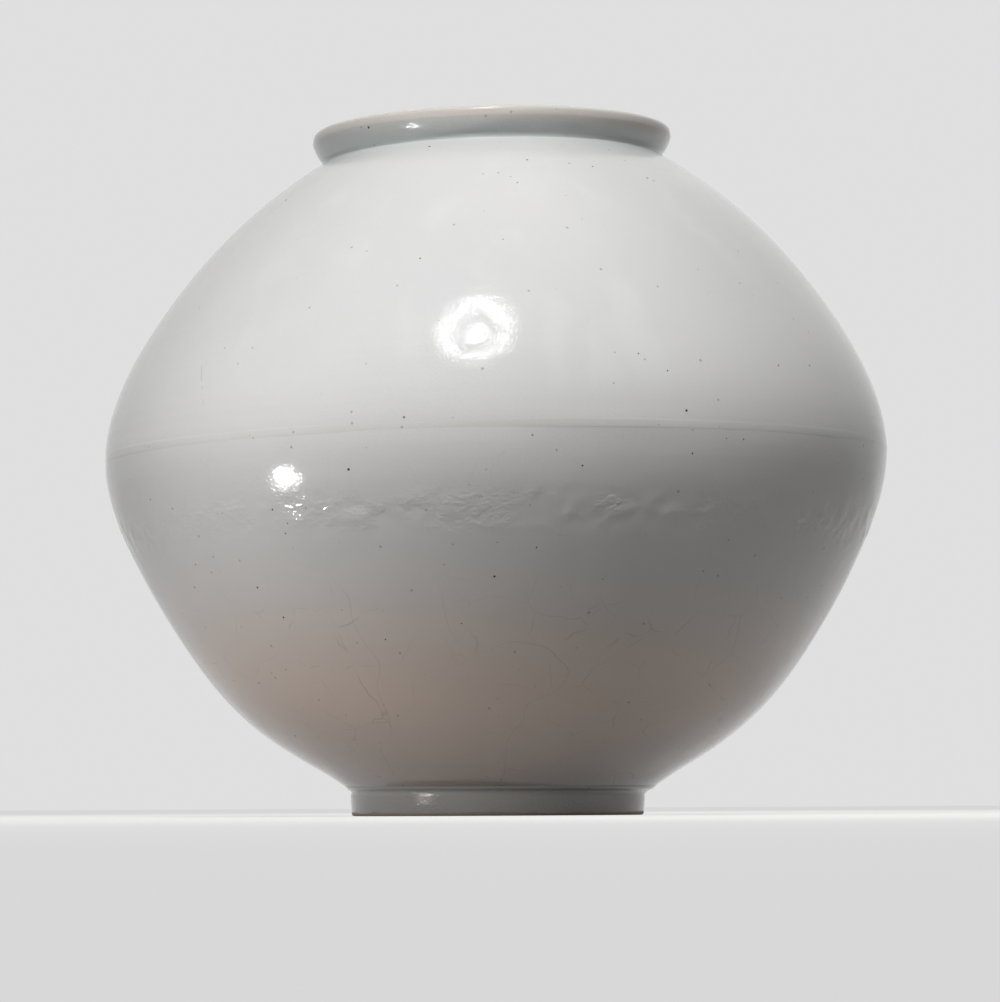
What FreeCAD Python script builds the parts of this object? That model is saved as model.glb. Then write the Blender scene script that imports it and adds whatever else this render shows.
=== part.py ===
import FreeCAD, Part
import os

# A Korean moon jar in millimetres. +Z is up, and the origin is the centre of the foot on the ground.
# Seen from the front, +X is to the right.
# Two thrown bowls meet mouth to mouth at the belly. In the kiln the jar sagged to the left, so each
# level of the body is a circle that is tilted and moved a little more than the one below it.

# Outside of the body
foot_height = 15.0
body_foot_radius = 88.3
belly_height = 211.5
belly_radius = 230.7
neck_height = 388.4
neck_radius = 99.4

# The swell from the foot to the belly, and the fall from the belly to the neck:
# shares of the height between the two, and of the difference between their radii
lower_height_shares = (0, 0.085, 0.22, 0.44, 0.72, 1)
lower_swell_shares = (0, 0.186, 0.437, 0.68, 0.897, 1)
upper_height_shares = (0.218, 0.465, 0.781, 0.964, 1)
upper_fall_shares = (0.066, 0.252, 0.614, 0.926, 1)

# The lean that the kiln gave the body: the tilt of the neck, and how far the middle of the body lies
# to the right of the foot's centre at its two ends
neck_tilt_degrees = 1.33
body_offset_at_foot = 1.8
body_offset_at_neck = -1.3

# Walls of the two bowls, measured square to the surface, and the flat floor inside, whose edge lies
# this far in from the body's edge at the foot
floor_thickness = 16.0
floor_inset = 30.3
wall_at_foot = 12.0
wall_at_belly = 8.5
wall_at_neck = 7.5

# The luted joint at the belly: a ridge on the upper bowl's edge sits in a groove in the lower one's,
# with slip between them, a bead of it outside and a smeared band of it inside
slip_thickness = 1.0
key_width = 5.0
key_depth = 2.5
bead_height = 0.35
bead_width = 4.0
smear_width = 30.0
smear_face_width = 20.0
smear_thickness = 2.6

# Foot ring: how far its top lies in from the body's edge, and how much it narrows to the ground
foot_inset = 1.5
foot_taper = 0.8
foot_ground_width = 12.0
foot_top_width = 18.0
foot_edge_bevel = 1.6

# Mouth rim: heights above the neck, and how far its flare, lip and crest reach out past the neck's
# radius, with the throat inside it
rim_height = 16.6
rim_tilt_degrees = 1.0
flare_height = 5.9
flare_reach = 4.8
lip_height = 11.6
lip_reach = 7.1
crest_reach = 2.3
throat_height = 9.5
throat_inset = 5.8
quarter_round_share = 0.707
bevel_round_share = 0.5

# One overrun serves every cutting solid
overrun = 8.0

# Highest degree of the lofted surfaces. A lower one lets the inside ripple, and the wall with it.
loft_degree = 8


def level(height):
    """Place and tilt of the body's level at a height. The right side is the higher one."""
    climb = (height - foot_height) / (neck_height - foot_height)
    offset = body_offset_at_foot + (body_offset_at_neck - body_offset_at_foot) * climb
    turn = FreeCAD.Rotation(FreeCAD.Vector(0, 1, 0), -neck_tilt_degrees * climb)
    return FreeCAD.Placement(FreeCAD.Vector(offset, 0, height), turn)


def level_circle(point):
    """A wire round the body, from a point of its profile."""
    circle = Part.Wire(Part.Circle(FreeCAD.Vector(), FreeCAD.Vector(0, 0, 1), point.x).toShape())
    circle.Placement = level(point.z)
    return circle


def outer_profile():
    """Points of the outside, as radius and height, from the foot's top to the neck."""
    points = []
    for height_share, swell_share in zip(lower_height_shares, lower_swell_shares):
        radius = body_foot_radius + (belly_radius - body_foot_radius) * swell_share
        height = foot_height + (belly_height - foot_height) * height_share
        points.append(FreeCAD.Vector(radius, 0, height))
    for height_share, fall_share in zip(upper_height_shares, upper_fall_shares):
        radius = belly_radius + (neck_radius - belly_radius) * fall_share
        height = belly_height + (neck_height - belly_height) * height_share
        points.append(FreeCAD.Vector(radius, 0, height))
    return points


def wall_thickness(height):
    """Thickness of the wall at a height: it changes evenly from the foot to the belly to the neck."""
    if height < belly_height:
        share = (height - foot_height) / (belly_height - foot_height)
        return wall_at_foot + (wall_at_belly - wall_at_foot) * share
    share = (height - belly_height) / (neck_height - belly_height)
    return wall_at_belly + (wall_at_neck - wall_at_belly) * share


def inner_profile():
    """Points of the inside: the floor's edge, then the outside moved in by the wall, then the throat."""
    outside = outer_profile()
    curve = Part.BSplineCurve()
    curve.interpolate(outside)
    points = [FreeCAD.Vector(body_foot_radius - floor_inset, 0, foot_height + floor_thickness)]
    for point in outside[1:-1]:
        along = curve.tangent(curve.parameter(point))[0]
        inward = FreeCAD.Vector(-along.z, 0, along.x)
        points.append(point + inward * wall_thickness(point.z))
    inner_neck_radius = neck_radius - wall_at_neck
    points.append(FreeCAD.Vector(inner_neck_radius, 0, neck_height))
    points.append(FreeCAD.Vector(inner_neck_radius, 0, neck_height + overrun))
    return points


def lofted(points):
    """A solid through the tilted circles of a profile."""
    circles = [level_circle(point) for point in points]
    return Part.makeLoft(circles, True, False, False, loft_degree)


def turned(edges, place):
    """A ring made by turning a closed section, drawn in radius and height, and put in its place."""
    ring = Part.Face(Part.Wire(Part.sortEdges(edges)[0])).revolve(
        FreeCAD.Vector(), FreeCAD.Vector(0, 0, 1), 360)
    ring.Placement = place
    return ring


def line(start, end):
    """A straight edge between two points given as radius and height."""
    return Part.LineSegment(FreeCAD.Vector(start[0], 0, start[1]),
                            FreeCAD.Vector(end[0], 0, end[1])).toShape()


def arc(start, middle, end):
    """A round edge through three points given as radius and height."""
    return Part.Arc(*[FreeCAD.Vector(radius, 0, height) for radius, height in (start, middle, end)]).toShape()


def outline(points):
    """Straight edges round a list of points, closed."""
    return [line(start, end) for start, end in zip(points, points[1:] + points[:1])]


def slip_layer():
    """The layer between the two edges, drawn past both faces of the wall, with the key in its middle."""
    outside = belly_radius + overrun
    inside = belly_radius - wall_at_belly - overrun
    middle = belly_radius - wall_at_belly / 2
    half = slip_thickness / 2
    top = [(inside, half), (middle - key_width / 2, half), (middle, half - key_depth),
           (middle + key_width / 2, half), (outside, half)]
    bottom = [(radius, height - slip_thickness) for radius, height in reversed(top)]
    return turned(outline(top + bottom), level(belly_height))


def luting_blank():
    """The whole joint before the bowls are cut from it: bead outside, slip between, smeared band inside."""
    middle = belly_radius - wall_at_belly / 2
    root = belly_radius - bead_height
    face = belly_radius - wall_at_belly - smear_thickness
    half_bead = bead_width / 2
    upper_side = [(root, half_bead), (middle, smear_width / 2), (face, smear_face_width / 2)]
    lower_side = [(radius, -height) for radius, height in reversed(upper_side)]
    sides = upper_side + lower_side
    edges = [line(start, end) for start, end in zip(sides, sides[1:])]
    edges.append(arc(sides[-1], (belly_radius + bead_height, 0), sides[0]))
    return turned(edges, level(belly_height))


def bowls():
    """The lower and the upper bowl: the thrown wall, parted at the belly by the layer of slip."""
    wall = lofted(outer_profile()).cut(lofted(inner_profile()))
    lower, upper = sorted(wall.cut(slip_layer()).Solids, key=lambda solid: solid.CenterOfMass.z)
    return lower, upper


def foot_ring():
    """The ring under the lower bowl. Its inner wall slants, and its standing edge is bevelled on both sides."""
    top = body_foot_radius - foot_inset
    ground = top - foot_taper
    section = [(ground - foot_ground_width, 0), (ground, 0),
               (top, foot_height), (top - foot_top_width, foot_height)]
    ring = turned(outline(section), FreeCAD.Placement())
    ground_edges = [edge for edge in ring.Edges if edge.BoundBox.ZMax < foot_edge_bevel]
    return ring.makeChamfer(foot_edge_bevel, ground_edges)


def mouth_rim():
    """The flared rim. It is drawn from below the neck, then cut off along the neck's own level."""
    inner_neck = neck_radius - wall_at_neck
    start = (neck_radius, 0)
    flare = (neck_radius + flare_reach, flare_height)
    lip = (neck_radius + lip_reach, lip_height)
    crest = (neck_radius + crest_reach, rim_height)
    throat = (neck_radius - throat_inset, throat_height)
    lip_shoulder = (crest[0] + (lip[0] - crest[0]) * quarter_round_share,
                    lip[1] + (crest[1] - lip[1]) * quarter_round_share)
    bevel_middle = (throat[0] + (crest[0] - throat[0]) * bevel_round_share,
                    crest[1] + (throat[1] - crest[1]) * (1 - quarter_round_share))
    edges = [arc(start, flare, lip),
             arc(lip, lip_shoulder, crest),
             arc(crest, bevel_middle, throat)]
    below = [throat, (inner_neck, 0), (inner_neck, -overrun), (neck_radius, -overrun), start]
    edges += [line(low, high) for low, high in zip(below, below[1:])]
    neck = level(neck_height)
    rim_turn = FreeCAD.Rotation(FreeCAD.Vector(0, 1, 0), -rim_tilt_degrees)
    rim = turned(edges, FreeCAD.Placement(neck.Base, rim_turn))
    under = Part.makeCylinder(belly_radius, 2 * overrun, FreeCAD.Vector(0, 0, -2 * overrun))
    under.Placement = neck
    return rim.cut(under)


def export(shape, node):
    shape.exportStep("parts/" + node + ".step")
    print(node, "volume", round(shape.Volume), "solids", len(shape.Solids), "valid", shape.isValid())


os.makedirs("parts", exist_ok=True)
lower_bowl, upper_bowl = bowls()
export(lower_bowl, "lower_bowl")
export(upper_bowl, "upper_bowl")
export(luting_blank().cut(lower_bowl).cut(upper_bowl), "belly_luting")
export(foot_ring(), "foot_ring")
export(mouth_rim(), "mouth_rim")
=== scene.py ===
# %% [markdown]
# A moon jar is a large white porcelain jar, thrown as two bowls that were set mouth to mouth at the belly.
# This lesson dresses its solid model for a picture. The solid model is loaded first as a frame that is
# never moved, and each new piece takes the place of one of its parts.

# %% Load the frame
import math

import bpy
import numpy as np
from mathutils import Matrix, Vector


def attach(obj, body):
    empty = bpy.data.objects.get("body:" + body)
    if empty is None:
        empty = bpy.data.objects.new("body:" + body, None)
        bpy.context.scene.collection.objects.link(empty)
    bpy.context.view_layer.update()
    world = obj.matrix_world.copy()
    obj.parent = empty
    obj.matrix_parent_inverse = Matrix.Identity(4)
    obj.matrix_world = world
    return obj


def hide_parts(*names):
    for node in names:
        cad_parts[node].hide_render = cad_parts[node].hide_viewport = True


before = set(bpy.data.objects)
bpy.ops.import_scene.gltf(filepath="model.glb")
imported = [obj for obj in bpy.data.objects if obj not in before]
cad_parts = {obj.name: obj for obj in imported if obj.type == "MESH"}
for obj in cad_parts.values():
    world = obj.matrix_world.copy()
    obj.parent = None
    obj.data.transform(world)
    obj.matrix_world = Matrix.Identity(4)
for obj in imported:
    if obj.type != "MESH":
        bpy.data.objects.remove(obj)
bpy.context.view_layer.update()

mm = 0.001
print("its parts are", ", ".join(sorted(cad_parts)))

# %% [markdown]
# The jar is seen from low down through a long lens, with the eye just above the floor, so its foot shows
# from the side and its mouth from below. A camera can be turned by eye. Here its upward look is worked out
# from the row of the picture that the horizon lies on, and its lens from a focal length in pixels, so both
# can be checked. It leans by a third of a degree.

# %% Camera
frame_rows = 1002
middle_row = frame_rows / 2
horizon_row = 805.2
focal_pixels = 4300
film_width = 36
nearest_seen = 20 * mm
camera_place = Vector((2.2 * mm, -2540 * mm, 6 * mm))
camera_pitch = math.atan((horizon_row - middle_row) / focal_pixels)
camera_roll = math.radians(-0.29)


def clear():
    """Leave nothing selected, so that an operator touches only what is made next."""
    bpy.ops.object.select_all(action="DESELECT")


clear()
bpy.ops.object.camera_add()
camera = bpy.context.object
camera.data.sensor_width = film_width
camera.data.lens = film_width * focal_pixels / frame_rows
camera.data.clip_start = nearest_seen
upward = Matrix.Rotation(math.pi / 2 + camera_pitch, 4, "X")
camera.matrix_world = Matrix.Translation(camera_place) @ upward @ Matrix.Rotation(camera_roll, 4, "Z")
bpy.context.scene.camera = camera
print("lens", round(camera.data.lens, 1), "mm, looking up", round(math.degrees(camera_pitch), 2), "degrees")

# %% [markdown]
# The outside of the two bowls is one smooth curve. It is drawn as a designer would draw it, through a few
# stations, each a share of the way from the foot to the belly or from the belly to the neck. A Bezier curve
# would need two handles set at each station. A natural cubic spline needs none: it takes the line that a
# thin strip of wood takes when it is bent past pins.

# %% Sizes of the body
foot_height = 15.0 * mm
body_foot_radius = 88.3 * mm
belly_height = 211.5 * mm
belly_radius = 230.7 * mm
neck_height = 388.4 * mm
neck_radius = 99.4 * mm
floor_thickness = 16.0 * mm
floor_radius = 58.0 * mm
wall_at_foot = 12.0 * mm
wall_at_belly = 8.5 * mm
wall_at_neck = 7.5 * mm

# Shares of the height between two levels, and of the difference between their radii
lower_height_shares = (0, 0.044, 0.085, 0.22, 0.44, 0.72, 1)
lower_swell_shares = (0, 0.092, 0.186, 0.437, 0.68, 0.897, 1)
upper_height_shares = (0.218, 0.465, 0.781, 0.964, 1)
upper_fall_shares = (0.066, 0.252, 0.614, 0.926, 1)
print("the belly is", round(2 * belly_radius / mm, 1), "mm wide and", round(belly_height / mm, 1), "mm up")


# %% A smooth curve through stations
def run_along(curve):
    """The length along a curve from its start to each of its points."""
    return np.r_[0, np.cumsum(np.hypot(*np.diff(curve, axis=0).T))]


def flowing(stations, spacing):
    """Points about a spacing apart on the natural cubic spline through stations, each (radius, height)."""
    stations = np.array(stations)
    along = run_along(stations)
    gap = np.diff(along)
    last = len(gap)
    matrix = np.eye(last + 1)
    pull = np.zeros((last + 1, 2))
    for i in range(1, last):
        matrix[i, i - 1:i + 2] = gap[i - 1], 2 * (gap[i - 1] + gap[i]), gap[i]
        slope_before = (stations[i] - stations[i - 1]) / gap[i - 1]
        slope_after = (stations[i + 1] - stations[i]) / gap[i]
        pull[i] = 6 * (slope_after - slope_before)
    bend = np.linalg.solve(matrix, pull)
    places = np.linspace(0, along[-1], round(along[-1] / spacing) + 1)
    span = np.clip(np.searchsorted(along, places, side="right") - 1, 0, last - 1)
    width = gap[span][:, None]
    after = (places - along[span])[:, None] / width
    before = 1 - after
    chord = before * stations[span] + after * stations[span + 1]
    bow = (before ** 3 - before) * bend[span] + (after ** 3 - after) * bend[span + 1]
    return chord + bow * width ** 2 / 6


# %% The outside
outside_step = 2.0 * mm
outside_stations = [(body_foot_radius + (belly_radius - body_foot_radius) * swell,
                     foot_height + (belly_height - foot_height) * height)
                    for height, swell in zip(lower_height_shares, lower_swell_shares)]
outside_stations += [(belly_radius + (neck_radius - belly_radius) * fall,
                      belly_height + (neck_height - belly_height) * height)
                     for height, fall in zip(upper_height_shares, upper_fall_shares)]
outside = flowing(outside_stations, outside_step)
print("the outside has", len(outside), "points and is", round(outside[:, 0].max() / mm, 1), "mm in radius")

# %% [markdown]
# The inside is the outside moved in by the wall's thickness, square to the surface. A Solidify modifier
# would give an even wall, but a thrown wall thins as it climbs, so the points are moved in one by one. A
# potter's fingers leave rings on both faces as the clay is drawn up: the inside keeps them, and outside they
# are pared away until only a breath of them is left under the glaze.

# %% Inside and throwing rings
inside_step = 5.0 * mm
inner_ring_depth = 0.45 * mm
inner_ring_spacing = 17.0 * mm
outer_ring_depth = 0.02 * mm
outer_ring_spacing = 11.0 * mm
ring_wander_share = 0.37
station_every = 8


def square_out(curve):
    """Unit directions square to a curve of radius and height, pointing away from the jar's inside."""
    run = np.gradient(curve, axis=0)
    run /= np.hypot(run[:, 0], run[:, 1])[:, None]
    return np.column_stack([run[:, 1], -run[:, 0]])


def ringed(curve, depth, spacing):
    """The curve with a potter's rings on it, which fade out at both of its ends."""
    along = run_along(curve)
    turns = 2 * math.pi * along / spacing
    wave = np.sin(turns + 2 * np.sin(turns * ring_wander_share))
    fade = np.clip(np.minimum(along, along[-1] - along) / spacing, 0, 1)
    return curve + square_out(curve) * (depth * wave * fade)[:, None]


def wall_at(height):
    """Thickness of the wall at a height: it changes evenly from the foot to the belly to the neck."""
    levels = (foot_height, belly_height, neck_height)
    return np.interp(height, levels, (wall_at_foot, wall_at_belly, wall_at_neck))


moved_in = outside - square_out(outside) * wall_at(outside[:, 1])[:, None]
floor_top = foot_height + floor_thickness
inner_neck_radius = neck_radius - wall_at_neck
kept = (moved_in[:, 1] > floor_top + wall_at_foot) & (outside[:, 1] < neck_height - wall_at_neck)
inside_stations = [(floor_radius, floor_top), *moved_in[kept][::station_every],
                   (inner_neck_radius, neck_height)]
inside = ringed(flowing(inside_stations, inside_step), inner_ring_depth, inner_ring_spacing)
outside = ringed(outside, outer_ring_depth, outer_ring_spacing)
print("the inside has", len(inside), "points")

# %% [markdown]
# Every round piece is made the way a potter would: an outline is drawn point by point by extruding one
# vertex, and then turned round the jar's axis. The Screw modifier with no climb does that, and on this many
# points it is far quicker than the Spin tool. Doubled points are merged before the faces are turned
# outwards, and edges sharper than an angle stay crisp.

# %% Turning an outline on the wheel
turns_round = 480
merge_distance = 0.01 * mm
crisp_angle = math.radians(38)


def turned(name, outline):
    """A piece turned from an outline of (radius, height) points."""
    clear()
    bpy.ops.mesh.primitive_plane_add(size=mm)
    piece = bpy.context.object
    piece.name = piece.data.name = name
    bpy.ops.object.mode_set(mode="EDIT")
    bpy.ops.mesh.merge(type="CENTER")
    bpy.ops.transform.translate(value=(outline[0][0], 0, outline[0][1]))
    for start, end in zip(outline, outline[1:]):
        move = (end[0] - start[0], 0, end[1] - start[1])
        bpy.ops.mesh.extrude_region_move(TRANSFORM_OT_translate={"value": move})
    bpy.ops.object.mode_set(mode="OBJECT")
    bpy.ops.object.modifier_add(type="SCREW")
    wheel = piece.modifiers[-1]
    wheel.angle = 2 * math.pi
    wheel.steps = wheel.render_steps = turns_round
    wheel.use_merge_vertices = True
    bpy.ops.object.modifier_apply(modifier=wheel.name)
    bpy.ops.object.mode_set(mode="EDIT")
    bpy.ops.mesh.select_all(action="SELECT")
    bpy.ops.mesh.remove_doubles(threshold=merge_distance)
    bpy.ops.mesh.normals_make_consistent(inside=False)
    bpy.ops.object.mode_set(mode="OBJECT")
    bpy.ops.object.shade_smooth_by_angle(angle=crisp_angle)
    triangles = sum(len(face.vertices) - 2 for face in piece.data.polygons)
    print(name, "has", triangles, "triangles")
    return piece


# %% Stretches of an outline
def radius_at(curve, height):
    """The radius of a curve at a height, where its height grows from point to point."""
    return np.interp(height, curve[:, 1], curve[:, 0])


def height_at(curve, radius):
    """The height of a curve at a radius, where its radius grows from point to point."""
    return np.interp(radius, curve[:, 0], curve[:, 1])


def between(curve, low, high):
    """The stretch of a curve between two heights, with a point exactly at each."""
    ends = [(radius_at(curve, height), height) for height in (low, high)]
    inner = curve[(curve[:, 1] > low + merge_distance) & (curve[:, 1] < high - merge_distance)]
    return [ends[0], *inner, ends[1]]


def straight(start, end, parts):
    """The points that divide a straight run into equal parts, with both of its ends."""
    return [(start[0] + (end[0] - start[0]) * share, start[1] + (end[1] - start[1]) * share)
            for share in np.linspace(0, 1, parts + 1)]


# %% [markdown]
# The lower bowl holds the jar's floor, and its edge at the belly has a groove that the upper bowl's ridge
# sits in. The joint is hidden in the wall and could be left out, but it costs only a few points and keeps
# the two shells whole.

# %% Sizes of the belly joint
slip_thickness = 1.0 * mm
key_width = 5.0 * mm
key_depth = 2.5 * mm
joint_low = belly_height - slip_thickness / 2
joint_high = belly_height + slip_thickness / 2
wall_middle = belly_radius - wall_at_belly / 2


def keyed_edge(height):
    """A bowl's edge from its outer to its inner corner, with the key in its middle."""
    return [(wall_middle + key_width / 2, height), (wall_middle, height - key_depth),
            (wall_middle - key_width / 2, height)]


# %% The lower bowl
floor_rings = 6
underside = straight((0, foot_height), (body_foot_radius, foot_height), floor_rings)
outer_wall = between(outside, foot_height, joint_low)
inner_wall = between(inside, floor_top, joint_low)[::-1]
floor_face = straight((floor_radius, floor_top), (0, floor_top), floor_rings)
lower_bowl = turned("lower_bowl_glazed", [*underside, *outer_wall[1:], *keyed_edge(joint_low),
                                          *inner_wall, *floor_face[1:]])

# %% [markdown]
# The second bowl was turned upside down over the first and opened at the top. Its edge could be drawn anew,
# but the same function draws it a layer of slip higher, so the two always fit.

# %% The upper bowl
outer_wall = between(outside, joint_high, neck_height)
inner_wall = between(inside, joint_high, neck_height)[::-1]
upper_edge = keyed_edge(joint_high)[::-1]
upper_bowl = turned("upper_bowl_glazed", [*outer_wall, *inner_wall, *upper_edge, outer_wall[0]])

# %% [markdown]
# Slip closes the joint. Outside it was wiped down and glazed over until only a faint line is left, and
# inside it is a band smeared flat by the potter's fingers. A thin torus would do for the outside alone. Here
# the whole piece is one outline: bead, slip between the two edges, smeared band. Both swellings start a
# little inside the wall, so that no gap opens beside them.

# %% The luted joint at the belly
bead_height = 0.05 * mm
bead_width = 5.0 * mm
bead_points = 8
smear_width = 30.0 * mm
smear_thickness = 2.6 * mm
smear_flatness = 0.5
sunk = 0.05 * mm


def swelling(curve, width, rise, side, flatness, angles):
    """Points over a swelling at the belly. Its side is 1 outside the curve and -1 inside it."""
    points = []
    for angle in angles:
        height = belly_height + width / 2 * math.sin(angle)
        out = (rise + sunk) * math.cos(angle) ** flatness - sunk
        points.append((radius_at(curve, height) + side * out, height))
    return points


bead_angles = np.linspace(-math.pi / 2, math.pi / 2, bead_points + 1)
smear_angles = np.linspace(math.pi / 2, -math.pi / 2, 2 * bead_points + 1)
bead = swelling(outside, bead_width, bead_height, 1, 1, bead_angles)
smear = swelling(inside, smear_width, smear_thickness, -1, smear_flatness, smear_angles)
outer_high = (radius_at(outside, joint_high) - sunk, joint_high)
outer_low = (radius_at(outside, joint_low) - sunk, joint_low)
inner_high = (radius_at(inside, joint_high) + sunk, joint_high)
inner_low = (radius_at(inside, joint_low) + sunk, joint_low)
belly_luting = turned("belly_luting_slip", [*bead, outer_high, *keyed_edge(joint_high), inner_high, *smear,
                                            inner_low, *keyed_edge(joint_low)[::-1], outer_low, bead[0]])

# %% [markdown]
# The foot was cut from the same clay after the jar was turned over: its outer side leans in a touch towards
# the ground, its inner side slants, and the edge that the jar stands on was wiped bare of glaze. Glaze has
# run into the corner under the bowl and rounds it. A Bevel modifier would round that corner evenly, but the
# pool reaches further out under the bowl than down the foot, so it is a short smooth curve of its own.

# %% The foot ring
foot_inset = 1.5 * mm
foot_taper = 0.8 * mm
foot_ground_width = 12.0 * mm
foot_top_width = 18.0 * mm
foot_edge_bevel = 1.6 * mm
bevel_points = 5
side_parts = 8
ground_parts = 4
pool_low = 12.2 * mm
pool_reach = 4.6 * mm
pool_step = 0.5 * mm

# (out from the foot's top edge, above the ground) in millimetres
pool_stations = ((0.25, 13.5), (1.0, 14.3), (2.5, 15.15))


def round_edge(middle, radius, start, end, parts):
    """Points on an arc round a middle, from one angle in degrees to another."""
    angles = np.radians(np.linspace(start, end, parts + 1))
    return [(middle[0] + radius * math.cos(angle), middle[1] + radius * math.sin(angle)) for angle in angles]


top_radius = body_foot_radius - foot_inset
ground_radius = top_radius - foot_taper
inner_ground = ground_radius - foot_ground_width
inner_top = top_radius - foot_top_width
outer_middle = (ground_radius - foot_edge_bevel, foot_edge_bevel)
inner_middle = (inner_ground + foot_edge_bevel, foot_edge_bevel)
outer_edge = round_edge(outer_middle, foot_edge_bevel, -90, 0, bevel_points)
inner_edge = round_edge(inner_middle, foot_edge_bevel, 180, 270, bevel_points)
across = straight((inner_edge[-1][0], 0), (outer_edge[0][0], 0), ground_parts)[1:-1]

pool_foot = (top_radius + (ground_radius - top_radius) * (foot_height - pool_low) / foot_height, pool_low)
pool_middle = [(top_radius + out * mm, up * mm) for out, up in pool_stations]
lower_part = outside[outside[:, 1] < belly_height]
pool_top = (top_radius + pool_reach, height_at(lower_part, top_radius + pool_reach) - sunk)
pool = flowing([pool_foot, *pool_middle, pool_top], pool_step)
under_bowl = (top_radius, foot_height + 2 * sunk)

outer_side = straight((ground_radius, foot_edge_bevel), pool_foot, side_parts)[1:-1]
inner_side = straight((inner_top, foot_height), (inner_ground, foot_edge_bevel), side_parts)[:-1]
foot_ring = turned("foot_ring_glazed", [*outer_edge, *outer_side, *pool, under_bowl, *inner_side,
                                        *inner_edge, *across, outer_edge[0]])

# %% [markdown]
# The mouth rim flares out of the neck, turns up to a lip and rounds over to its crest, with a slope falling
# away inside to the throat. Glaze has run into the corner where it meets the shoulder. The rim could be a
# bevelled curve round the neck, but arcs through three points each keep every turn where it was measured.

# %% Sizes of the rim
rim_height = 16.6 * mm
flare_height = 5.9 * mm
flare_reach = 4.8 * mm
lip_height = 11.6 * mm
lip_reach = 7.1 * mm
edge_height = 14.3 * mm
edge_reach = 6.8 * mm
crest_reach = 2.3 * mm
throat_height = 9.5 * mm
throat_inset = 5.8 * mm
edge_round_share = 0.8
quarter_round_share = 0.707
bevel_round_share = 0.5
underside_share = 0.25
rim_step = 0.8 * mm
throat_parts = 7
corner_out = 1.7 * mm
corner_up = 2.0 * mm
corner_hollow = 0.45 * mm
fewest_parts = 3


# %% The mouth rim
def arc_through(start, middle, end, step):
    """Points on the circle through three points, after the first."""
    start, middle, end = (np.array(point) for point in (start, middle, end))
    first, second = middle - start, end - start
    cross = 2 * (first[0] * second[1] - first[1] * second[0])
    hub = start + np.array([second[1] * first @ first - first[1] * second @ second,
                            first[0] * second @ second - second[0] * first @ first]) / cross
    radius = math.dist(hub, start)
    turn = np.unwrap([math.atan2(*(point - hub)[::-1]) for point in (start, middle, end)])
    parts = max(fewest_parts, round(abs(turn[2] - turn[0]) * radius / step))
    return [(hub[0] + radius * math.cos(angle), hub[1] + radius * math.sin(angle))
            for angle in np.linspace(turn[0], turn[2], parts + 1)[1:]]


start = (neck_radius, neck_height)
flare = (neck_radius + flare_reach, neck_height + flare_height)
lip = (neck_radius + lip_reach, neck_height + lip_height)
edge = (neck_radius + edge_reach, neck_height + edge_height)
crest = (neck_radius + crest_reach, neck_height + rim_height)
throat = (neck_radius - throat_inset, neck_height + throat_height)
shoulder = (crest[0] + (edge[0] - crest[0]) * edge_round_share,
            edge[1] + (crest[1] - edge[1]) * edge_round_share)
slope = (throat[0] + (crest[0] - throat[0]) * bevel_round_share,
         crest[1] + (throat[1] - crest[1]) * (1 - quarter_round_share))
throat_wall = straight(throat, (inner_neck_radius, neck_height), throat_parts)[1:]
underside = (neck_radius - wall_at_neck * underside_share, neck_height)

outward = [point for point in arc_through(start, flare, lip, rim_step) if point[1] > neck_height + corner_up]
upper_part = outside[outside[:, 1] > belly_height][::-1]
corner_foot = (neck_radius + corner_out - sunk, height_at(upper_part, neck_radius + corner_out) - sunk)
corner_middle = ((corner_foot[0] + outward[0][0]) / 2 - corner_hollow,
                 (corner_foot[1] + outward[0][1]) / 2 + corner_hollow / 2)
corner = arc_through(corner_foot, corner_middle, outward[0], rim_step / 2)
mouth_rim = turned("mouth_rim_glazed", [corner_foot, *corner, *outward[1:], edge,
                                        *arc_through(edge, shoulder, crest, rim_step / 2),
                                        *arc_through(crest, slope, throat, rim_step), *throat_wall,
                                        underside, corner_foot])

# %% [markdown]
# No thrown jar is a true round. Its wall swells and dips by half a millimetre over a hand's width, the
# surface is dimpled by fingers and tools, and three fingers under the belly lies a band of small lumps where
# clay was pressed on. These could be pushed in with sculpting brushes. Displace modifiers move the outer face
# along its normals by cloud textures instead, and give the same jar each time. A vertex group says how
# strongly, and fades to nothing at each piece's edges, so that the pieces stay joined.

# %% Clouds and weights
def cloud(name, size, detail=0, contrast=1.0):
    """A cloud texture whose puffs are about a size across."""
    texture = bpy.data.textures.new(name, "CLOUDS")
    texture.noise_scale = size
    texture.noise_depth = detail
    texture.contrast = contrast
    return texture


def weigh(piece, label, weight_at):
    """Give each vertex of the outer face a weight, from a function of its height in metres."""
    mesh = piece.data
    count = len(mesh.vertices)
    place, normal = np.zeros(count * 3), np.zeros(count * 3)
    mesh.vertices.foreach_get("co", place)
    mesh.vertices.foreach_get("normal", normal)
    place, normal = place.reshape(-1, 3), normal.reshape(-1, 3)
    faces_out = (place[:, :2] * normal[:, :2]).sum(axis=1) > 0
    weights = np.where(faces_out, weight_at(place[:, 2]), 0)
    made = piece.vertex_groups.new(name=label)
    for index in np.flatnonzero(weights > 0):
        made.add([int(index)], float(weights[index]), "REPLACE")


def faded(low, high, fade):
    """A weight of one between two heights that falls to nothing at both."""
    return lambda height: np.clip(np.minimum(height - low, high - height) / fade, 0, 1)


def pick(piece):
    """Make a piece the active one and select nothing else."""
    clear()
    bpy.context.view_layer.objects.active = piece
    piece.select_set(True)


def displaced(piece, texture, label, strength):
    """Push a piece's surface in and out by a texture, as strongly as its vertex group says."""
    pick(piece)
    bpy.ops.object.modifier_add(type="DISPLACE")
    push = piece.modifiers[-1]
    push.texture = texture
    push.texture_coords = "LOCAL"
    push.vertex_group = label
    push.strength = strength
    bpy.ops.object.modifier_apply(modifier=push.name)


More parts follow.
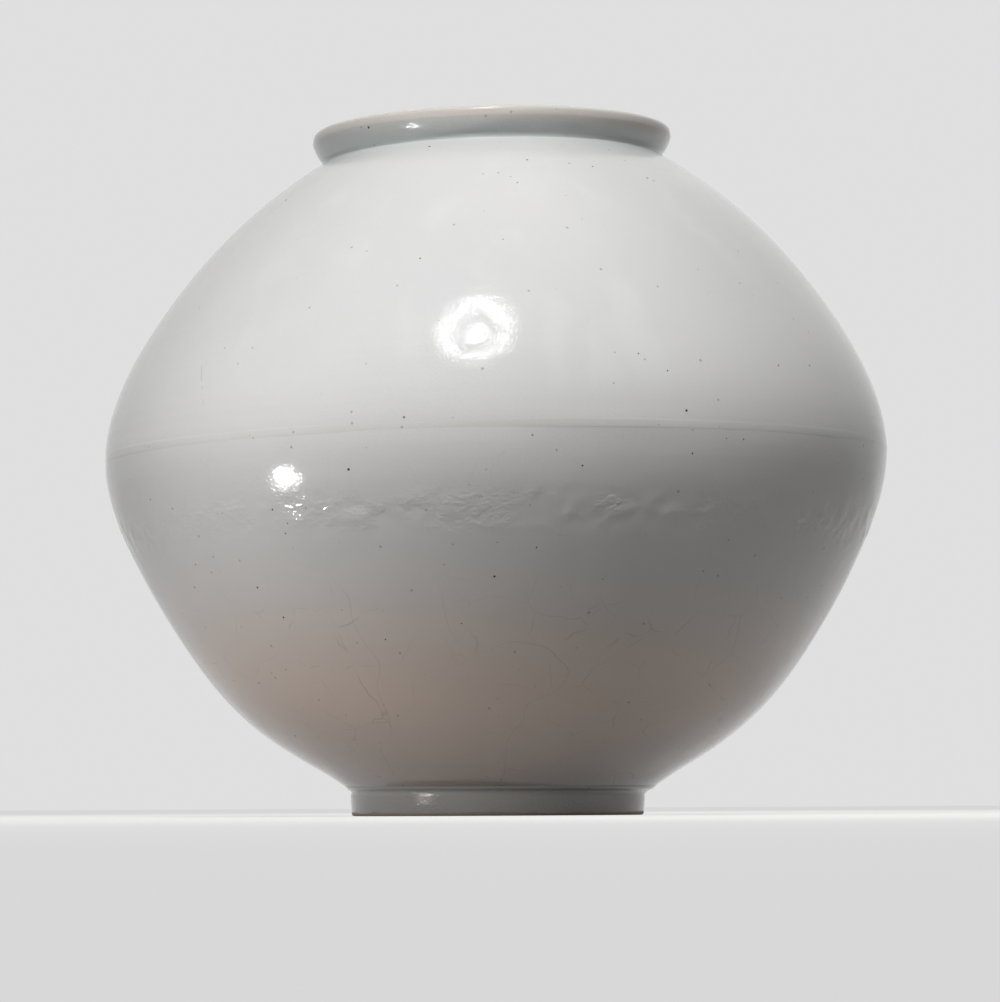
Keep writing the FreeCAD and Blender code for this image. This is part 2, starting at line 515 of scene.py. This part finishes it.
# %% Uneven surfaces
edge_fade = 9 * mm
lump_height = 165 * mm
lump_band = 11 * mm
swell_strength = 1.6 * mm
bowl_dimple_strength = 0.22 * mm
ring_dimple_strength = 0.3 * mm
lump_strength = 0.8 * mm

swell = cloud("swell", 130 * mm)
dimple = cloud("dimple", 26 * mm, detail=1)
lump = cloud("lump", 8 * mm, detail=1, contrast=1.4)
for piece, low, high in ((lower_bowl, foot_height, joint_low), (upper_bowl, joint_high, neck_height)):
    weigh(piece, "face", faded(low, high, edge_fade))
    displaced(piece, swell, "face", swell_strength)
    displaced(piece, dimple, "face", bowl_dimple_strength)
weigh(lower_bowl, "lumps", lambda height: np.exp(-((height - lump_height) / lump_band) ** 2))
displaced(lower_bowl, lump, "lumps", lump_strength)
weigh(mouth_rim, "face", faded(neck_height, neck_height + rim_height, rim_height / 3))
weigh(foot_ring, "face", faded(foot_edge_bevel, pool_low, foot_height / 4))
for piece in (mouth_rim, foot_ring):
    displaced(piece, dimple, "face", ring_dimple_strength)
for piece in (lower_bowl, upper_bowl, mouth_rim, foot_ring):
    piece.vertex_groups.clear()
    print(piece.name, "spans", [round(side / mm, 1) for side in piece.dimensions])

# %% [markdown]
# The jar sagged a little to the left in the kiln while the clay was soft. Each level of the body is tilted
# and moved a touch more than the one below it. Turning each ring by hand would be slow, and a lattice of
# eight points does this to a whole piece: with straight-line interpolation, lifting its right side at the
# top gives just that even lean.

# %% The kiln's lean
neck_tilt = math.radians(1.33)
rim_tilt = math.radians(1.0)
body_offset_at_foot = 1.8 * mm
body_offset_at_neck = -1.3 * mm
cage_width = 2.2 * belly_radius


def leaned(piece, low, high, tilts, offsets):
    """Lean a piece with a lattice from a low to a high level: tilts and offsets are (at low, at high)."""
    clear()
    bpy.ops.object.add(type="LATTICE", location=(0, 0, (low + high) / 2))
    cage = bpy.context.object
    cage.scale = (cage_width, cage_width, high - low)
    for axis in ("u", "v", "w"):
        setattr(cage.data, "points_" + axis, 2)
        setattr(cage.data, "interpolation_type_" + axis, "KEY_LINEAR")
    for point in cage.data.points:
        side, level = point.co.x, point.co.z
        top = level > 0
        lift = side * cage_width * math.tan(tilts[top])
        point.co_deform = (side + offsets[top] / cage_width, point.co.y, level + lift / (high - low))
    pick(piece)
    bpy.ops.object.modifier_add(type="LATTICE")
    piece.modifiers[-1].object = cage
    bpy.ops.object.modifier_apply(modifier=piece.modifiers[-1].name)
    bpy.data.objects.remove(cage)


for piece in (lower_bowl, upper_bowl, belly_luting):
    leaned(piece, foot_height, neck_height, (0, neck_tilt), (body_offset_at_foot, body_offset_at_neck))
leaned(foot_ring, pool_low, foot_height, (0, 0), (0, body_offset_at_foot))
rim_top = neck_height + rim_height
rim_top_offset = body_offset_at_neck - rim_height * math.sin(rim_tilt)
leaned(mouth_rim, neck_height, rim_top, (neck_tilt, rim_tilt), (body_offset_at_neck, rim_top_offset))
print("the rim's top lies", round(rim_top_offset / mm, 2), "mm to the right of the middle")

# %% [markdown]
# The finish of every piece is one glaze over white clay, seen at different thicknesses. It could be painted,
# but a pattern worked out by nodes has no seam and stays sharp close up. What the materials share is built
# once as node groups: sparse iron specks, fine brown crackle, long hairlines, and the tiny unevenness that
# gives a wood-fired glaze its soft, broken highlights. Each group puts out one mask or one height, and each
# material decides what it does with it.

# %% Node helpers
def node(tree, kind, inputs=None, **settings):
    """Add a node: an input that is a socket is linked, and any other is written on the node's own socket."""
    made = tree.nodes.new("ShaderNode" + kind)
    for name, value in settings.items():
        setattr(made, name, value)
    for name, value in (inputs or {}).items():
        if isinstance(value, bpy.types.NodeSocket):
            tree.links.new(value, made.inputs[name])
        else:
            made.inputs[name].default_value = value
    return made


def math_node(tree, operation, first, second=0.0, clamp=False):
    """The result of a sum on two values or sockets."""
    return node(tree, "Math", {0: first, 1: second}, operation=operation, use_clamp=clamp).outputs[0]


def ramp(tree, value, low, high, to_low=0.0, to_high=1.0):
    """A smooth step from one value to another as the input goes from low to high."""
    return node(tree, "MapRange", {"Value": value, "From Min": low, "From Max": high, "To Min": to_low,
                                   "To Max": to_high}, interpolation_type="SMOOTHSTEP").outputs["Result"]


def mixed(tree, share, below, above):
    """Two colours mixed by a share. In colour mode they are inputs 6 and 7 of the node, and output 2."""
    return node(tree, "Mix", {"Factor": share, 6: below, 7: above}, data_type="RGBA").outputs[2]


def noise(tree, coordinates, scale, detail, roughness=0.5):
    """A soft random value round a half."""
    inputs = {"Vector": coordinates, "Scale": scale, "Detail": detail, "Roughness": roughness}
    return node(tree, "TexNoise", inputs).outputs[0]


def stretched(tree, coordinates, scale):
    """Coordinates scaled along each axis, so that a pattern on them is squeezed or drawn out."""
    return node(tree, "Mapping", {"Vector": coordinates, "Scale": scale}).outputs[0]


def height_of(tree, coordinates):
    """The height of a point above the floor, in metres."""
    return node(tree, "SeparateXYZ", {0: coordinates}).outputs["Z"]


def closeness(tree, distance, width):
    """One where a distance is nothing, falling evenly to nothing at a width."""
    return math_node(tree, "SUBTRACT", 1, math_node(tree, "DIVIDE", distance, width), clamp=True)


# %% Node groups
def group(name, inputs, output):
    """A node group with a vector and float inputs. Returns its tree, its inputs and its one result."""
    tree = bpy.data.node_groups.new(name, "ShaderNodeTree")
    tree.interface.new_socket("Vector", in_out="INPUT", socket_type="NodeSocketVector")
    for label, value in inputs.items():
        tree.interface.new_socket(label, in_out="INPUT", socket_type="NodeSocketFloat").default_value = value
    tree.interface.new_socket(output, in_out="OUTPUT", socket_type="NodeSocketFloat")
    return tree, tree.nodes.new("NodeGroupInput").outputs, tree.nodes.new("NodeGroupOutput").inputs[0]


def use(tree, source, coordinates, **values):
    """Place a node group in a material and return its output."""
    made = node(tree, "Group")
    made.node_tree = source
    tree.links.new(coordinates, made.inputs["Vector"])
    for name, value in values.items():
        made.inputs[name].default_value = value
    return made.outputs[0]


# %% [markdown]
# Iron specks are grains of ore that burnt through the glaze. A noise with a high threshold would give blots
# that run together. A Voronoi texture scatters one point in each cell, its random colour decides whether a
# grain is there and how large it is, and the distance to the point draws the grain.

# %% Iron specks
smallest_grain = 0.35
largest_grain = 1.3
grain_core = 0.45
specks, given, result = group("iron_specks", {"Scale": 80, "Share": 0.3, "Size": 0.05}, "Mask")
cells = node(specks, "TexVoronoi", {"Vector": given["Vector"], "Scale": given["Scale"]})
chance = node(specks, "SeparateColor", {0: cells.outputs["Color"]})
grown = ramp(specks, chance.outputs[1], 0, 1, smallest_grain, largest_grain)
grain = math_node(specks, "MULTIPLY", given["Size"], grown)
near = closeness(specks, cells.outputs["Distance"], grain)
present = math_node(specks, "LESS_THAN", chance.outputs[0], given["Share"])
specks.links.new(math_node(specks, "MULTIPLY", ramp(specks, near, 0, grain_core), present), result)
print("iron_specks has", len(specks.nodes), "nodes")

# %% [markdown]
# Crackle is a net of hairline cracks that tea and time have stained. Cracks could be drawn one by one, but
# here the edges of Voronoi cells make the net and a noise bends it. A second, larger noise leaves it out over
# most of the jar, as on the real glaze, and a third breaks the lines.

# %% Crackle
# A scale is about how many puffs of noise go in a metre, and an edge is where in its value a patch fades in
wander_scale = 24
wander_reach = 0.02
net_patch_scale = 9
net_patch_edge = (0.95, 1.1)
net_break_scale = 70
net_break_edge = (0.42, 0.6)
crackle, given, result = group("crackle", {"Scale": 32, "Width": 0.011, "Share": 0.5}, "Mask")
wander = node(crackle, "TexNoise", {"Vector": given["Vector"], "Scale": wander_scale, "Detail": 3})
bent = node(crackle, "VectorMath", {0: wander.outputs["Color"], "Scale": wander_reach}, operation="SCALE")
bent = node(crackle, "VectorMath", {0: given["Vector"], 1: bent.outputs[0]}, operation="ADD")
net = node(crackle, "TexVoronoi", {"Vector": bent.outputs[0], "Scale": given["Scale"]},
           feature="DISTANCE_TO_EDGE")
line = closeness(crackle, net.outputs["Distance"], given["Width"])
patch = math_node(crackle, "ADD", noise(crackle, given["Vector"], net_patch_scale, 2), given["Share"])
unbroken = ramp(crackle, noise(crackle, given["Vector"], net_break_scale, 1), *net_break_edge)
shown = math_node(crackle, "MULTIPLY", ramp(crackle, patch, *net_patch_edge), unbroken)
crackle.links.new(math_node(crackle, "MULTIPLY", line, shown), result)
print("crackle has", len(crackle.nodes), "nodes")

# %% [markdown]
# Hairlines are long and lie singly, so a net won't do for them. A contour line of a slow noise is just such
# a line: it is drawn where the noise passes a given value, and is as thin as the band of values let through.

# %% Hairlines
line_patch_scale = 17
line_patch_edge = (0.98, 1.12)
hairlines, given, result = group("hairlines", {"Scale": 11, "Width": 0.0016, "Share": 0.5}, "Mask")
slow = noise(hairlines, given["Vector"], given["Scale"], 2, roughness=0.3)
off_line = math_node(hairlines, "ABSOLUTE", math_node(hairlines, "SUBTRACT", slow, 0.5))
line = closeness(hairlines, off_line, given["Width"])
patch = math_node(hairlines, "ADD", noise(hairlines, given["Vector"], line_patch_scale, 2), given["Share"])
shown = ramp(hairlines, patch, *line_patch_edge)
hairlines.links.new(math_node(hairlines, "MULTIPLY", line, shown), result)
print("hairlines has", len(hairlines.nodes), "nodes")

# %% [markdown]
# The glaze itself lies unevenly: fine dimples a couple of millimetres across, slower waves, and the breath of
# the potter's rings, which is a noise squeezed along the height. Modelled in the mesh they would take
# millions of faces, and as bumps they still break up the highlights. Heights are in millimetres.

# %% Glaze surface
heights = {"Dimple Height": 0.07, "Wave Height": 0.08, "Ring Height": 0.03}
ring_squeeze = (3, 3, 95)
dimple_scale = 700
wave_scale = 62
surface, given, result = group("glaze_surface", heights, "Height")
rings = stretched(surface, given["Vector"], ring_squeeze)
dimples = noise(surface, given["Vector"], dimple_scale, 2)
total = math_node(surface, "MULTIPLY", dimples, given["Dimple Height"])
for pattern, label in ((noise(surface, given["Vector"], wave_scale, 2), "Wave Height"),
                       (noise(surface, rings, 1, 3), "Ring Height")):
    total = math_node(surface, "ADD", total, math_node(surface, "MULTIPLY", pattern, given[label]))
surface.links.new(total, result)
print("glaze_surface adds up", len(heights), "heights")

# %% [markdown]
# Where the lower bowl was patched, a band of small flat wrinkles and pits goes round it. They are finer than
# the mesh, so they are bumps too: a noise drawn out sideways, let through only near one height.

# %% The pressed band
wrinkle_scale = (210, 210, 330)
wrinkle_patch_scale = 28
wrinkle_patch_edge = (0.4, 0.6)
band_end = 1.5 * lump_band
band_core = 0.3 * lump_band
pressed, given, result = group("pressed_band", {}, "Height")
drawn_out = stretched(pressed, given["Vector"], wrinkle_scale)
from_middle = math_node(pressed, "SUBTRACT", height_of(pressed, given["Vector"]), lump_height)
from_middle = math_node(pressed, "ABSOLUTE", from_middle)
within = ramp(pressed, from_middle, band_end, band_core)
patches = ramp(pressed, noise(pressed, given["Vector"], wrinkle_patch_scale, 1), *wrinkle_patch_edge)
within = math_node(pressed, "MULTIPLY", within, patches)
rise = math_node(pressed, "SUBTRACT", noise(pressed, drawn_out, 1, 2), 0.5)
pressed.links.new(math_node(pressed, "MULTIPLY", rise, within), result)
print("pressed_band lies", round(lump_height / mm), "mm up")

# %% [markdown]
# A few marks are known one by one: the dark speck on the rim, the larger specks round the belly, the small
# lumps and the upright scratch on the left shoulder. They could be painted, but here each is given by its
# place across the front and its height, and a ray sent from the front finds where the surface lies there.
# One group holds each kind and is shared by the pieces that they lie on.

# %% Places of the marks
# (to the right of the middle, above the floor, radius) in millimetres
large_specks = [(-72.6, 396.8, 1.0), (-79.9, 188.2, 1.0), (-169.4, 142.0, 0.6), (-133.0, 127.5, 0.8),
                (-115.8, 155.5, 0.6), (-114.5, 160.8, 0.5), (-118.6, 110.8, 0.8), (-61.3, 97.4, 0.6),
                (-19.2, 105.3, 0.5), (-1.0, 130.2, 0.9), (-122.8, 168.6, 0.7), (-195.6, 179.6, 0.6),
                (46.9, 188.9, 0.7), (107.3, 196.8, 0.7), (104.1, 220.1, 1.0), (136.2, 205.8, 0.6),
                (126.5, 205.8, 0.5), (176.5, 251.6, 0.7), (157.6, 249.4, 0.7), (94.0, 242.1, 0.6),
                (78.1, 251.2, 0.6), (-37.1, 381.8, 0.9), (55.7, 367.6, 0.7), (12.9, 354.8, 0.6),
                (21.9, 145.4, 0.6), (-120.5, 354.9, 1.0), (-41.2, 307.2, 0.7), (4.6, 318.1, 0.5)]
small_lumps = [(62.7, 171.1, 3.4), (66.4, 170.2, 2.2), (-62.7, 167.0, 3.0), (-11.1, 164.0, 3.2),
               (20.2, 71.4, 1.6)]
scratch_top = 251.5
scratch_steps = 9
upright_scratch = [(-164.1, scratch_top - step, 0.45) for step in range(scratch_steps)]
upright_scratch += [(-163.5, 239.5, 0.5), (-163.4, 238.5, 0.45), (-162.6, 231.0, 0.4), (-162.5, 229.5, 0.4)]


# %% Placed marks
def on_front(across, up):
    """The point of the jar's front at a place given in millimetres."""
    for piece in (upper_bowl, lower_bowl, belly_luting, mouth_rim):
        hit, place = piece.ray_cast((across * mm, -1, up * mm), (0, 1, 0))[:2]
        if hit:
            return place
    raise ValueError("no surface there")


def placed(name, marks, output):
    """A group that puts out a mask of round marks, each fading from its middle to its radius."""
    tree, given, result = group(name, {}, output)
    total = 0.0
    for across, up, radius in marks:
        away = node(tree, "VectorMath", {0: given["Vector"], 1: on_front(across, up)}, operation="DISTANCE")
        mark = ramp(tree, away.outputs["Value"], radius * mm, radius * mm / 2)
        total = math_node(tree, "MAXIMUM", total, mark)
    tree.links.new(total, result)
    print(name, "holds", len(marks), "marks")
    return tree


speck_marks = placed("large_specks", large_specks, "Mask")
lump_marks = placed("small_lumps", small_lumps, "Height")
scratch_marks = placed("upright_scratch", upright_scratch, "Mask")

# %% [markdown]
# All the glazes start alike: a base colour that drifts between two tints, a surface height, gloss that varies
# a little, and the marks on top. Each could be built by hand, but two recipe functions lay down what is the
# same, one below a piece's own colours and one above them, so that a change reaches all five.

# %% The glaze recipe
iron_brown = (0.055, 0.035, 0.026, 1)
crack_brown = (0.30, 0.235, 0.195, 1)
lump_rise = 0.22
grit_rise = 0.6
glaze_ior = 1.5
gloss_scale = 38
sharpest_gloss = 0.04
softest_gloss = 0.09
drift_scale = 7
faint_stain = 0.08
fine_scale = 125
fine_size = 0.105
fine_per_coarse = 1.5
fine_depth = 0.4
coarse_scale = 58
coarse_size = 0.045
coarse_depth = 0.8


def glaze(name, colour, drift, dimple_height=0.07):
    """A glaze below its piece's own colours. Returns the material, its coordinates and its colour."""
    material = bpy.data.materials.new(name)
    material.use_nodes = True
    tree = material.node_tree
    shader = tree.nodes["Principled BSDF"]
    coordinates = node(tree, "TexCoord").outputs["Object"]
    height = use(tree, surface, coordinates, **{"Dimple Height": dimple_height})
    for source, rise in ((lump_marks, lump_rise), (pressed, grit_rise)):
        more = math_node(tree, "MULTIPLY", use(tree, source, coordinates), rise)
        height = math_node(tree, "ADD", height, more)
    bump = node(tree, "Bump", {"Height": height, "Distance": mm, "Strength": 1.0})
    tree.links.new(bump.outputs[0], shader.inputs["Normal"])
    gloss = ramp(tree, noise(tree, coordinates, gloss_scale, 3), 0.3, 0.7, sharpest_gloss, softest_gloss)
    tree.links.new(gloss, shader.inputs["Roughness"])
    shader.inputs["IOR"].default_value = glaze_ior
    drifting = ramp(tree, noise(tree, coordinates, drift_scale, 4, roughness=0.6), 0.35, 0.68)
    return material, coordinates, mixed(tree, drifting, colour, drift)


def tinted(tree, body, colour, height, none_at, full_at, share=1):
    """A colour that turns into a share of another as the height goes from one level to the next."""
    return mixed(tree, ramp(tree, height, none_at, full_at, 0, share), body, colour)


def marked(piece, material, coordinates, body, speck_share, crack_share=0.5, line_share=0.5,
           stain=faint_stain):
    """Lay hairlines, crackle and iron specks over a colour, and give the finished glaze to its piece."""
    tree = material.node_tree
    for source, share in ((hairlines, line_share), (crackle, crack_share)):
        brown = math_node(tree, "MULTIPLY", use(tree, source, coordinates, Share=share), stain)
        body = mixed(tree, brown, body, crack_brown)
    fine = use(tree, specks, coordinates, Scale=fine_scale, Share=speck_share * fine_per_coarse,
               Size=fine_size)
    coarse = use(tree, specks, coordinates, Scale=coarse_scale, Share=speck_share, Size=coarse_size)
    iron = math_node(tree, "MAXIMUM", math_node(tree, "MULTIPLY", fine, fine_depth),
                     math_node(tree, "MULTIPLY", coarse, coarse_depth))
    iron = math_node(tree, "MAXIMUM", iron, use(tree, speck_marks, coordinates))
    body = mixed(tree, iron, body, iron_brown)
    tree.links.new(body, tree.nodes["Principled BSDF"].inputs["Base Color"])
    piece.data.materials.append(material)
    print(material.name, "has", len(tree.nodes), "nodes")


# %% [markdown]
# The upper bowl is the whitest part. Under the rim, where the glaze is thick, it turns faintly blue-green,
# and pale runs go down from there. The runs could be modelled as drips, but they have melted flat, so a noise
# drawn out along the height colours them. The scratch on the shoulder has taken a little stain.

# %% The upper bowl's glaze
pooled = (0.55, 0.59, 0.58, 1)
seam_white = (0.64, 0.635, 0.625, 1)
run_white = (0.70, 0.70, 0.69, 1)
run_scale = (26, 26, 2.2)
run_strength = 0.5
seam_fade = 40 * mm
neck_pool = 16 * mm
scratch_stain = 0.7
material, coordinates, body = glaze("glazed_porcelain_upper", (0.66, 0.655, 0.645, 1), (0.63, 0.635, 0.63, 1))
tree = material.node_tree
above = height_of(tree, coordinates)
runs = noise(tree, stretched(tree, coordinates, run_scale), 1, 3)
body = mixed(tree, ramp(tree, runs, 0.5, 0.75, 0, run_strength), body, run_white)
body = tinted(tree, body, seam_white, above, belly_height + seam_fade, belly_height)
body = tinted(tree, body, pooled, above, neck_height - neck_pool, neck_height, 0.5)
scratched = math_node(tree, "MULTIPLY", use(tree, scratch_marks, coordinates), scratch_stain)
body = mixed(tree, scratched, body, crack_brown)
marked(upper_bowl, material, coordinates, body, 0.22, crack_share=0.34, line_share=0.42)

# %% [markdown]
# The lower bowl is the same glaze, a little warmer, with a blush strongest low down: partly the clay's own
# faint blush and partly painted warm bounce light from below. Low down its cracks have also taken more stain.
# Another material for the lower third would show a line, so the height above the floor turns one finish into
# the other.

# %% The lower bowl's glaze
# The blush is partly a real faint blush and partly painted warm bounce light on the lower half.
blush_and_warm_bounce = (0.69, 0.545, 0.46, 1)
blush_and_warm_bounce_starts = 150 * mm
blush_and_warm_bounce_full = 60 * mm
foot_pool = 9 * mm
stain_starts = 145 * mm
stain_full = 105 * mm
light_stain = 0.06
deep_stain = 0.36
# The warmer base colours of this glaze also carry part of the painted warm bounce light.
material, coordinates, body = glaze("glazed_porcelain_lower", (0.635, 0.61, 0.595, 1), (0.605, 0.59, 0.58, 1))
tree = material.node_tree
above = height_of(tree, coordinates)
body = tinted(tree, body, blush_and_warm_bounce, above, blush_and_warm_bounce_starts, blush_and_warm_bounce_full, 0.95)
body = tinted(tree, body, seam_white, above, blush_and_warm_bounce_starts, belly_height)
body = tinted(tree, body, pooled, above, foot_height + foot_pool, foot_height, 0.3)
stain = ramp(tree, above, stain_starts, stain_full, light_stain, deep_stain)
marked(lower_bowl, material, coordinates, body, 0.34, crack_share=0.56, line_share=0.6, stain=stain)

# %% [markdown]
# The bead of slip is white clay under the same glaze. It takes the white that both bowls fade to at the
# seam, so that only a faint line is left of the joint.

# %% The luting's glaze
material, coordinates, body = glaze("luting_slip", seam_white, (0.61, 0.60, 0.58, 1))
marked(belly_luting, material, coordinates, body, 0.5)

# %% [markdown]
# On the foot the glaze is thin, and it stops short of the edge that the jar stands on, which shows bare clay
# with sand from the kiln floor stuck to it. A second material on the lowest faces would end in a straight
# line, so a noise added to the height gives the glaze's edge its ragged run, and the bare clay is duller.

# %% The foot's glaze
dry_roughness = 0.65
glaze_drop = -3 * mm
glaze_drop_scale = 120
bare_starts = 0.9 * mm
bare_full = 0.1 * mm
sand_scale = 900
dry_clay = (0.42, 0.34, 0.27, 1)
pale_sand = (0.62, 0.53, 0.44, 1)
corner_pool = 4 * mm
material, coordinates, body = glaze("foot_porcelain", (0.60, 0.585, 0.56, 1), (0.56, 0.53, 0.50, 1),
                                    dimple_height=0.2)
tree = material.node_tree
above = height_of(tree, coordinates)
ragged = math_node(tree, "MULTIPLY", noise(tree, coordinates, glaze_drop_scale, 3), glaze_drop)
bare = ramp(tree, math_node(tree, "ADD", above, ragged), bare_starts, bare_full)
bare_clay = mixed(tree, noise(tree, coordinates, sand_scale, 2), dry_clay, pale_sand)
body = tinted(tree, body, pooled, above, foot_height - corner_pool, foot_height, 0.35)
body = mixed(tree, bare, body, bare_clay)
roughness = tree.nodes["Principled BSDF"].inputs["Roughness"]
gloss = roughness.links[0].from_socket
tree.links.new(math_node(tree, "ADD", gloss, math_node(tree, "MULTIPLY", bare, dry_roughness)), roughness)
marked(foot_ring, material, coordinates, body, 0.4, crack_share=0.3)

# %% [markdown]
# On the rim the glaze has run thin off the lip, so that the clay shows warm through it, and it has gathered
# blue-green in the corner below. The crest is painted paler still: a painted highlight where the top edge
# faces the lamp above. Bands of even height would look painted, so here too a noise moves the level at which
# one colour turns into the next.

# %% The rim's glaze
thin_glaze = (0.645, 0.595, 0.545, 1)
# Painted highlight: the crest's paler colour stands in for the light that the top edge catches.
painted_crest_highlight = (0.68, 0.655, 0.61, 1)
rim_pool = 6 * mm
lip_wander = 6 * mm
lip_wander_scale = 34
thin_starts = 6.5 * mm
thin_full = 12 * mm
crest_starts = 14.5 * mm
crest_full = 16.5 * mm
material, coordinates, body = glaze("rim_porcelain", (0.60, 0.615, 0.605, 1), (0.57, 0.585, 0.58, 1),
                                    dimple_height=0.15)
tree = material.node_tree
above = height_of(tree, coordinates)
ragged = math_node(tree, "SUBTRACT", noise(tree, coordinates, lip_wander_scale, 4), 0.5)
lip_level = math_node(tree, "ADD", above, math_node(tree, "MULTIPLY", ragged, lip_wander))
body = tinted(tree, body, pooled, above, neck_height + rim_pool, neck_height, 0.8)
body = tinted(tree, body, thin_glaze, lip_level, neck_height + thin_starts, neck_height + thin_full, 0.9)
# The paler crest is a painted highlight on the top edge.
body = tinted(tree, body, painted_crest_highlight, lip_level, neck_height + crest_starts, neck_height + crest_full, 0.8)
marked(mouth_rim, material, coordinates, body, 0.35, crack_share=0.3, line_share=0.3)

# %% [markdown]
# Each finished piece is now joined to the frame: it rides on the jar's one body and stands for a part of the
# solid model, which is then hidden.

# %% Join the pieces to the frame
for piece, node_name, slot in ((lower_bowl, "lower_bowl", "glazed_porcelain_lower"),
                               (upper_bowl, "upper_bowl", "glazed_porcelain_upper"),
                               (belly_luting, "belly_luting", "luting_slip"),
                               (foot_ring, "foot_ring", "foot_porcelain"),
                               (mouth_rim, "mouth_rim", "rim_porcelain")):
    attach(piece, "root")
    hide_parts(node_name)
    print(piece.name, "stands for", node_name)

# %% [markdown]
# The jar stands on a plain pale floor. White paint would throw light up and wash out the jar's underside, so
# the paint is grey, and what a camera, a mirror or a glass sees of it is lifted to a pale tone by a glow.
# Light Path's Is Camera Ray, Is Glossy Ray and Is Transmission Ray let that glow through to them alone.

# %% Floor
floor_size = 12
floor_grey = (0.2, 0.2, 0.196, 1)
floor_roughness = 0.9
floor_glow = 0.64
white = (1, 1, 1, 1)


def seen_by_eye(tree):
    """One for what a camera, a mirror or a glass sees, and nothing for other light."""
    rays = node(tree, "LightPath").outputs
    seen = math_node(tree, "MAXIMUM", rays["Is Camera Ray"], rays["Is Transmission Ray"])
    return math_node(tree, "MAXIMUM", seen, rays["Is Glossy Ray"])


clear()
bpy.ops.mesh.primitive_plane_add(size=floor_size)
ground = bpy.context.object
ground.name = "floor"
floor_paint = bpy.data.materials.new("floor_paint")
floor_paint.use_nodes = True
tree = floor_paint.node_tree
paint = tree.nodes["Principled BSDF"]
paint.inputs["Base Color"].default_value = floor_grey
paint.inputs["Roughness"].default_value = floor_roughness
paint.inputs["Specular IOR Level"].default_value = 0
paint.inputs["Emission Color"].default_value = white
tree.links.new(math_node(tree, "MULTIPLY", seen_by_eye(tree), floor_glow), paint.inputs["Emission Strength"])
ground.data.materials.append(floor_paint)
print("the floor is", floor_size, "metres wide")

# %% [markdown]
# A dish lamp above the front of the left shoulder is mirrored in the glaze there, and a soft lamp in the
# same place gives most of the light on the upper half. A small lamp low on the left is mirrored under the
# belly, on the rim and on the foot, and a wide one behind keeps the back readable. One large lamp would light
# the jar as well, but the glaze would mirror it whole. A lamp that isn't to be mirrored has its glossy
# visibility off, and a narrower spread keeps its light off the floor.

# %% Lamps
above_shoulder = (-0.119, -0.936, 1.457)
low_on_left = (-0.474, -0.354, 0.035)
behind = (0.5, 1.7, 1.1)
shoulder_spot = (-0.014, -0.213, 0.278)
before_foot = (0, -0.35, 0.12)
belly_spot = (-0.115, -0.196, 0.185)
jar_middle = (0, 0, 0.2)


def lamp(name, place, target, width, length, power, spread=180, mirrored=True):
    """A soft lamp at a place, turned to a target, with its sizes in metres and its spread in degrees."""
    clear()
    bpy.ops.object.light_add(type="AREA", location=place)
    light = bpy.context.object
    light.name = name
    light.rotation_euler = (Vector(target) - Vector(place)).to_track_quat("-Z", "Y").to_euler()
    light.data.shape = "ELLIPSE"
    light.data.size = width
    light.data.size_y = length
    light.data.energy = power
    light.data.spread = math.radians(spread)
    light.visible_glossy = mirrored
    light.visible_camera = False
    print(name, "is set to", power, "watts")
    return light


key_lamp = lamp("key_lamp", above_shoulder, shoulder_spot, width=0.40, length=0.60, power=1)
lamp("soft_lamp", above_shoulder, before_foot, width=0.60, length=0.60, power=2.35, spread=60, mirrored=False)
lamp("back_lamp", behind, jar_middle, width=1.2, length=1.2, power=6, spread=60, mirrored=False)
lamp("side_lamp", low_on_left, belly_spot, width=0.046, length=0.046, power=0.19, spread=90)

# %% [markdown]
# The dish lamp has a bulb in its middle and a bright edge, and the glaze mirrors it as a core in a ring. Two
# lamps, one in the other, would hide each other, so the strength is drawn over the face of a single lamp by
# the distance from its middle.

# %% The dish lamp
dish_strength = 15
core_radius = 0.13
ring_inside = 0.42
edge_blur = 0.02
dish_middle = (0.5, 0.5, 0)
key_lamp.data.use_nodes = True
tree = key_lamp.data.node_tree
face = node(tree, "NewGeometry").outputs["Parametric"]
from_middle = node(tree, "VectorMath", {0: face, 1: dish_middle}, operation="DISTANCE").outputs["Value"]
core = ramp(tree, from_middle, core_radius + edge_blur, core_radius - edge_blur)
ring = ramp(tree, from_middle, ring_inside - edge_blur, ring_inside + edge_blur)
pattern = math_node(tree, "ADD", core, ring)
tree.links.new(math_node(tree, "MULTIPLY", pattern, dish_strength), tree.nodes["Emission"].inputs["Strength"])
print("the dish's bulb is", 2 * core_radius, "of its width")

# %% [markdown]
# The world is a dim fill for the jar's shaded side and a pale backdrop for the eye. One brightness for both
# would wash out the shading, so Light Path parts them as it does on the floor.

# %% Sky
sky_fill = 0.15
backdrop = 0.74
world = bpy.data.worlds.new("sky")
bpy.context.scene.world = world
world.use_nodes = True
tree = world.node_tree
strength = node(tree, "MapRange", {"Value": seen_by_eye(tree), "To Min": sky_fill, "To Max": backdrop})
background = tree.nodes["Background"]
background.inputs["Color"].default_value = white
tree.links.new(strength.outputs["Result"], background.inputs["Strength"])
bpy.context.scene.view_settings.view_transform = "Standard"
print("the backdrop is", backdrop, "and the fill", sky_fill)
